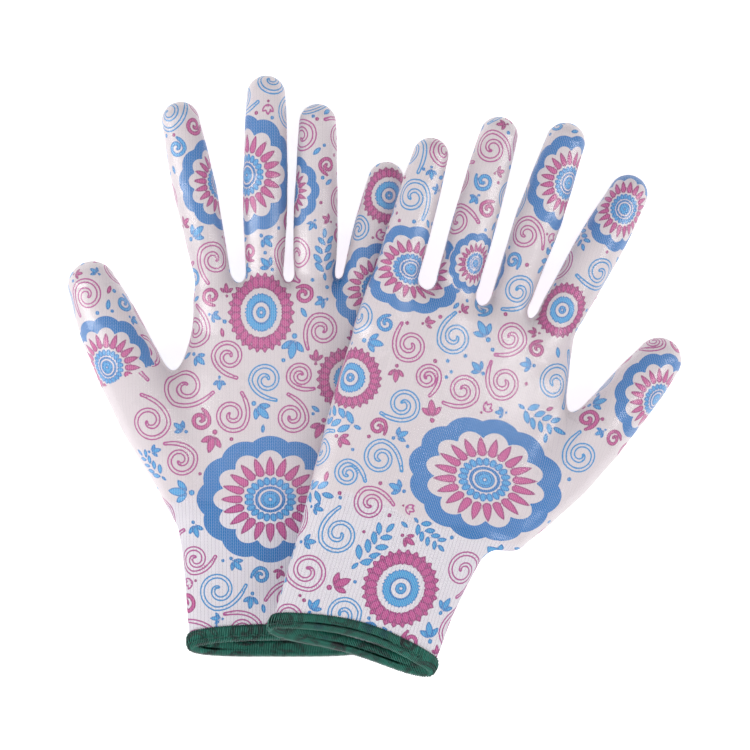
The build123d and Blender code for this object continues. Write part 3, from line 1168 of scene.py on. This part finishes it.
def clear_film():
    """Clear dipped film: see-through, with a soft gloss that follows the knit faintly."""
    n = Nodes("clear_film")
    place = n.attribute("knit_place", "Vector")
    film = n.attribute("film")
    knit = n.math("MULTIPLY", stitch_height(n, place), 0.3)
    height = n.math("MULTIPLY_ADD", n.noise(place, 0.35, 2.0), 1.3, knit)
    normal = n.bump(height, 0.14, 0.0006)
    rough = n.range(n.noise(place, 0.12, 3.0), 0.3, 0.7, 0.16, 0.30)
    gloss = n.node("ShaderNodeBsdfGlossy", Roughness=rough, Normal=normal, Color=(1, 1, 1, 1))
    clear = n.node("ShaderNodeBsdfTransparent", Color=(0.995, 0.99, 0.99, 1))
    facing = n.node("ShaderNodeLayerWeight", Blend=0.35, Normal=normal).outputs["Facing"]
    share = n.math("MULTIPLY_ADD", n.math("POWER", facing, 3.0), 0.34, 0.050)
    seen = n.math("SUBTRACT", 1.0, n.tree.nodes.new("ShaderNodeLightPath").outputs["Is Shadow Ray"])
    front = n.math("SUBTRACT", 1.0, n.tree.nodes.new("ShaderNodeNewGeometry").outputs["Backfacing"])
    amount = n.math("MULTIPLY", n.math("MULTIPLY", share, film), n.math("MULTIPLY", seen, front))
    mixed = n.node("ShaderNodeMixShader", Fac=amount)
    n.tree.links.new(clear.outputs[0], mixed.inputs[1])
    n.tree.links.new(gloss.outputs[0], mixed.inputs[2])
    n.tree.links.new(mixed.outputs[0], n.output.inputs["Surface"])
    return n.material


def hem_thread():
    """Dark green overlock thread, spun, that carries the print as darker patches."""
    n = Nodes("hem_thread")
    place = n.attribute("knit_place", "Vector")
    ragged = raggedness(n, place, 0.3)
    rose = n.math("ADD", n.attribute("rose"), ragged)
    blue = n.math("ADD", n.math("MINIMUM", n.attribute("sky"), n.attribute("blue")), ragged)
    lines = n.math("ADD", n.math("MINIMUM", n.attribute("sky_line"), n.attribute("rose_line")), ragged)
    fibre = n.noise(place, 3.5, 3.0)
    strand = n.noise(n.node("ShaderNodeMapping", Vector=place, Scale=(1.5, 0.12, 0.12)).outputs[0], 1.0, 3.0)
    colour = n.mix(n.range(strand, 0.35, 0.65, 0.0, 0.9), HEM_GREEN, HEM_LIGHT)
    colour = n.mix(n.range(fibre, 0.35, 0.7, 0.0, 0.4), colour, HEM_DEEP)
    colour = n.mix(n.math("MULTIPLY", mask(n, blue), 0.85), colour, HEM_UNDER_BLUE)
    colour = n.mix(n.math("MULTIPLY", mask(n, rose), 0.95), colour, HEM_UNDER_ROSE)
    stroke = n.math("SUBTRACT", n.math("ABSOLUTE", lines), STROKE_HALF)
    colour = n.mix(n.math("MULTIPLY", mask(n, stroke), 0.9), colour, HEM_UNDER_ROSE)
    colour = n.mix(n.math("MULTIPLY", n.attribute("looper"), 0.75), colour, HEM_DEEP)
    normal = n.bump(fibre, 0.35, 0.0002)
    return n.principled(colour, normal, 0.34, specular=0.55)


def elastane():
    """White covered elastane yarn."""
    n = Nodes("elastane")
    place = n.node("ShaderNodeTexCoord").outputs["Object"]
    fibre = n.noise(place, 2500.0, 2.0)
    colour = n.mix(n.range(fibre, 0.35, 0.65), YARN_LIGHT, YARN_DEEP)
    normal = n.bump(fibre, 0.4, 0.0002)
    return n.principled(colour, normal, 0.6)


# ---------------------------------------------------------------- pieces

def glove_cloth(glove, flowers, seed, materials):
    """The printed liner and the dipped film of a glove, in their pieces."""
    skin = make_skin(glove)
    centres = skin.points[skin.quads].mean(axis=1)
    owner = assign(glove, centres)
    layers, flat = print_layers(glove, skin.fine_points, skin.fine_normals, flowers, seed)
    film = film_amount(glove, skin.fine_points)
    place = np.column_stack([flat, np.zeros(len(flat))])
    fine_count, coarse_count = len(skin.fine_points), len(skin.points)

    def both(values):
        return np.concatenate([values, values[:coarse_count]])

    attributes = {layer: both(values) for layer, values in layers.items()}
    attributes["film"] = both(film)
    attributes["knit_place"] = both(place)
    film_attributes = {"film": both(film), "knit_place": both(place)}
    knit_outside, knit_inside = np.zeros(fine_count), np.full(coarse_count, -KNIT)
    film_outside = FILM_GAP + FILM_EDGE + FILM * film
    film_inside = np.full(coarse_count, FILM_GAP)
    filmed = film[skin.quads].max(axis=1) > 0.02

    for part in sorted(set(owner) - {"hidden"}):
        name = f"{glove.name}_{part}"
        chosen = owner == part
        cloth = shell(skin, chosen, knit_outside, knit_inside)
        liner_name = name if part == "cuff" else name + "_liner"
        slots = (materials["knit"], materials["inside"], materials["inside"])
        piece = make_mesh(liner_name + "_cloth", glove, *cloth, slots, attributes)
        ride_or_bend(glove, piece, part)
        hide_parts(liner_name)
        chosen = chosen & filmed
        if part == "cuff" or not chosen.any():
            continue
        coat = shell(skin, chosen, film_outside, film_inside)
        piece = make_mesh(name + "_film", glove, *coat, (materials["film"],) * 3, film_attributes)
        ride_or_bend(glove, piece, part)
        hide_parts(name + "_coating")


def wrist_ring(glove, along, grow, count):
    """Points round the wrist on a line parallel to its opening: across, height and the outward direction."""
    fine, thumb_edge, little_edge, half = glove.palm
    low, high = np.interp(along, fine, thumb_edge), np.interp(along, fine, little_edge)
    half_height = np.interp(along, fine, half)
    turn = np.linspace(0, 2 * math.pi, 8 * count, endpoint=False)
    c, s = np.cos(turn), np.sin(turn)
    reach = (np.abs(c) ** SECTION_POWER + np.abs(s) ** SECTION_POWER) ** (-1 / SECTION_POWER)
    ring = np.stack([(low + high) / 2 + (high - low) / 2 * c * reach, half_height * s * reach], axis=1)
    length = np.append(0, np.cumsum(np.linalg.norm(np.diff(ring, axis=0, append=ring[:1]), axis=1)))
    even = np.linspace(0, length[-1], count, endpoint=False)
    closed = np.vstack([ring, ring[:1]])
    ring = np.stack([np.interp(even, length, closed[:, k]) for k in (0, 1)], axis=1)
    ahead = np.roll(ring, -1, axis=0) - np.roll(ring, 1, axis=0)
    outward = np.stack([ahead[:, 1], -ahead[:, 0]], axis=1)
    outward /= np.linalg.norm(outward, axis=1)[:, None]
    return ring + outward * grow, outward, length[-1]


def opening_arch(glove, across):
    """How far the opening's edge bows towards the fingers in the middle of the hand."""
    fine, thumb_edge, little_edge, _ = glove.palm
    low, high = np.interp(0, fine, thumb_edge), np.interp(0, fine, little_edge)
    share = np.clip((across - low) / (high - low), 0, 1)
    return HEM_ARCH[glove.name] * np.sin(math.pi * share) ** 1.5


def on_wrist(glove, ring, along):
    """Ring points (across, height) placed on the slanted opening, with offsets along the hand."""
    v = along + OPENING_SLOPE * ring[:, 1] + opening_arch(glove, ring[:, 0])
    return np.column_stack([ring[:, 0], v, ring[:, 1]])


def ring_quads(count, sides):
    """The quads of a closed tube with so many rings of so many corners."""
    i = np.arange(count)[:, None] * sides
    j = np.roll(np.arange(count), -1)[:, None] * sides
    k = np.arange(sides)[None, :]
    m = (k + 1) % sides
    return np.stack([i + k, j + k, j + m, i + m], axis=2).reshape(-1, 4)


def merged(parts):
    """Several parts, each of points, normals and quads, as one."""
    starts = np.cumsum([0] + [len(part[0]) for part in parts])
    points, normals = (np.concatenate([part[k] for part in parts]) for k in (0, 1))
    return points, normals, np.concatenate([part[2] + start for part, start in zip(parts, starts)])


def tube(path, radius, sides):
    """A round tube along a closed path: its points, normals and quads."""
    ahead = np.roll(path, -1, axis=0) - np.roll(path, 1, axis=0)
    ahead /= np.linalg.norm(ahead, axis=1)[:, None]
    side = np.cross(ahead, (0.0, 0.93, 0.37))
    side /= np.maximum(np.linalg.norm(side, axis=1), 1e-6)[:, None]
    up = np.cross(side, ahead)
    turn = np.linspace(0, 2 * math.pi, sides, endpoint=False)
    normals = side[:, None] * np.cos(turn)[None, :, None] + up[:, None] * np.sin(turn)[None, :, None]
    points = path[:, None] + radius * normals
    return points.reshape(-1, 3), normals.reshape(-1, 3), ring_quads(len(path), sides)


def roll_profile(turn):
    """The edging's cross-section at an angle: reach along the hand and out of the cloth."""
    c, s = np.cos(turn), np.sin(turn)
    round_off = (np.abs(c) ** HEM_POWER + np.abs(s) ** HEM_POWER) ** (-1 / HEM_POWER)
    return HEM_DEPTH / 2 * c * round_off, HEM_HALF * s * round_off


def hem_length(glove):
    return wrist_ring(glove, HEM_DEPTH / 2, 0, 60)[2]


def hem_ring(glove, count):
    """Even points round the middle of the edging, and the outward direction at each."""
    return wrist_ring(glove, HEM_DEPTH / 2, -KNIT / 2, count)[:2]


def hem_core(glove):
    """The body of the edging: a closed ring with a flattened round section."""
    count, sides = 420, 20
    ring, outward = hem_ring(glove, count)
    turn = np.linspace(0, 2 * math.pi, sides, endpoint=False)
    along, out = roll_profile(turn)
    points = []
    for a, o in zip(along * CORE_SHARE[0], out * CORE_SHARE[1]):
        points.append(on_wrist(glove, ring + outward * o, HEM_DEPTH / 2 + a))
    points = np.stack(points, axis=1)
    normals = np.zeros_like(points)
    normals[..., 1] = (along / HEM_DEPTH * 2)[None, :]
    normals[..., 0] = outward[:, None, 0] * (out / HEM_HALF)[None, :]
    normals[..., 2] = outward[:, None, 1] * (out / HEM_HALF)[None, :]
    return points.reshape(-1, 3), normals.reshape(-1, 3), ring_quads(count, sides)[:, [0, 3, 2, 1]]


def hem_wrap(glove, seed):
    """The wrapping thread: a closed helix round the edging."""
    rng = np.random.default_rng(seed)
    wraps = int(hem_length(glove) / WRAP_PITCH)
    per_wrap = 16
    count = wraps * per_wrap
    ring, outward = hem_ring(glove, count)
    turn = -2 * math.pi * np.arange(count) / per_wrap
    along, out = roll_profile(turn)
    loose = np.repeat(rng.normal(0, 0.05, wraps), per_wrap)
    lift = out * (1 + loose) * 1.02
    path = on_wrist(glove, ring + outward * lift[:, None], HEM_DEPTH / 2 + along * (1 + loose / 3))
    return tube(path, THREAD_RADIUS, THREAD_SIDES)


def hem_chain(glove, along, out):
    """A looper thread that snakes along one edge of the edging."""
    count = int(hem_length(glove) / LOOP_PITCH) * 6
    ring, outward = hem_ring(glove, count)
    wave = 2 * math.pi * np.arange(count) / 6
    sway, rise = LOOPER_SWING
    lift = out + rise * np.sin(2 * wave)
    path = on_wrist(glove, ring + outward * lift[:, None], HEM_DEPTH / 2 + along + sway * np.cos(wave))
    return tube(path, LOOPER_RADIUS, THREAD_SIDES)


def make_hem(glove, flowers, seed, material):
    """The overlocked edging: body, wrapping thread and a looper thread along each of its edges."""
    parts = [hem_core(glove), hem_wrap(glove, seed)]
    wound = sum(len(part[0]) for part in parts)
    for edge in (-1, 1):
        parts.append(hem_chain(glove, edge * HEM_DEPTH * LOOPER_PLACE[0], HEM_HALF * LOOPER_PLACE[1]))
    points, normals, quads = merged(parts)
    layers, flat = print_layers(glove, points, normals, flowers, seed)
    looper = (np.arange(len(points)) >= wound).astype(float)
    attributes = dict(layers, looper=looper, knit_place=np.column_stack([flat, points[:, 2]]))
    piece = make_mesh(glove.name + "_hem_threads", glove, points, normals, [quads], (material,), attributes)
    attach(piece, glove.name + "_palm")
    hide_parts(glove.name + "_hem")


def make_elastic(glove, material):
    """The elastane yarns inside the cuff, one round ring for each CAD ring."""
    parts = []
    for k in range(ELASTIC_COUNT):
        along = ELASTIC_FIRST + ELASTIC_PITCH * k
        ring, _, _ = wrist_ring(glove, along, -KNIT - ELASTIC_DEPTH, 180)
        path = np.column_stack([ring[:, 0], along + OPENING_SLOPE * ring[:, 1], ring[:, 1]])
        parts.append(tube(path, ELASTIC_RADIUS, 7))
    points, normals, quads = merged(parts)
    piece = make_mesh(glove.name + "_elastic_yarns", glove, points, normals, [quads], (material,), {})
    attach(piece, glove.name + "_palm")
    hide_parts(glove.name + "_cuff_elastic")


# ---------------------------------------------------------------- stage

TABLE_GLOW = 0.55           # the pale table is lit from below a little
TABLE_SIZE = 6              # metres
ROOM_LIGHT = 0.40
LENS = 180                  # millimetres
SENSOR = 36
VIEW_WIDTH = 0.315          # metres in view, at the height of the upper palm
VIEW_LEVEL = 0.012
# name, place, size and power of each soft light
LIGHTS = (
    ("right strip", (1.15, 0.0, 0.75), (0.32, 1.4), 5.8),
    ("left strip", (-1.15, 0.0, 0.75), (0.32, 1.4), 8.6),
    ("behind the cuffs", (0.0, -1.1, 1.1), (1.4, 0.5), 6.5),
    ("over the camera", (0.0, 0.25, 1.75), (1.2, 0.8), 1.6),
)


def make_stage():
    """Plain white floor, soft light from above and the camera straight over the pair."""
    bpy.ops.mesh.primitive_plane_add(size=TABLE_SIZE, location=(0, 0, 0))
    floor = bpy.context.object
    floor.name = "floor"
    n = Nodes("floor")
    shader = n.node("ShaderNodeBsdfPrincipled", Base_Color=(0.9, 0.9, 0.9, 1), Roughness=0.9)
    shader.inputs["Emission Color"].default_value = (1, 1, 1, 1)
    shader.inputs["Emission Strength"].default_value = TABLE_GLOW
    n.tree.links.new(shader.outputs[0], n.output.inputs["Surface"])
    floor.data.materials.append(n.material)

    world = bpy.data.worlds.new("studio")
    bpy.context.scene.world = world
    world.use_nodes = True
    background = world.node_tree.nodes["Background"]
    background.inputs["Color"].default_value = (1, 1, 1, 1)
    background.inputs["Strength"].default_value = ROOM_LIGHT

    for name, place, size, power in LIGHTS:
        light = bpy.data.lights.new(name, "AREA")
        light.shape = "RECTANGLE"
        light.size, light.size_y = size
        light.energy = power
        lamp = bpy.data.objects.new(name, light)
        lamp.location = place
        lamp.rotation_euler = (-lamp.location.normalized()).to_track_quat("-Z", "Y").to_euler()
        bpy.context.scene.collection.objects.link(lamp)

    camera = bpy.data.cameras.new("camera")
    camera.lens = LENS
    camera.sensor_width = SENSOR
    seat = bpy.data.objects.new("camera", camera)
    seat.location = (0, 0, VIEW_WIDTH * LENS / SENSOR + VIEW_LEVEL)
    bpy.context.scene.collection.objects.link(seat)
    bpy.context.scene.camera = seat
    bpy.context.scene.view_settings.view_transform = "Standard"


def main():
    materials = {"knit": printed_knit(), "inside": plain_knit(), "film": clear_film(), "hem": hem_thread(),
                 "elastic": elastane()}
    left = read_glove("left", 1, LEFT_PALM)
    right = read_glove("right", -1, RIGHT_PALM)
    for glove, flowers, seed in ((left, LEFT_FLOWERS, 11), (right, RIGHT_FLOWERS, 23)):
        glove_cloth(glove, flowers, seed, materials)
        make_hem(glove, flowers, seed, materials["hem"])
        make_elastic(glove, materials["elastic"])
    make_stage()


main()
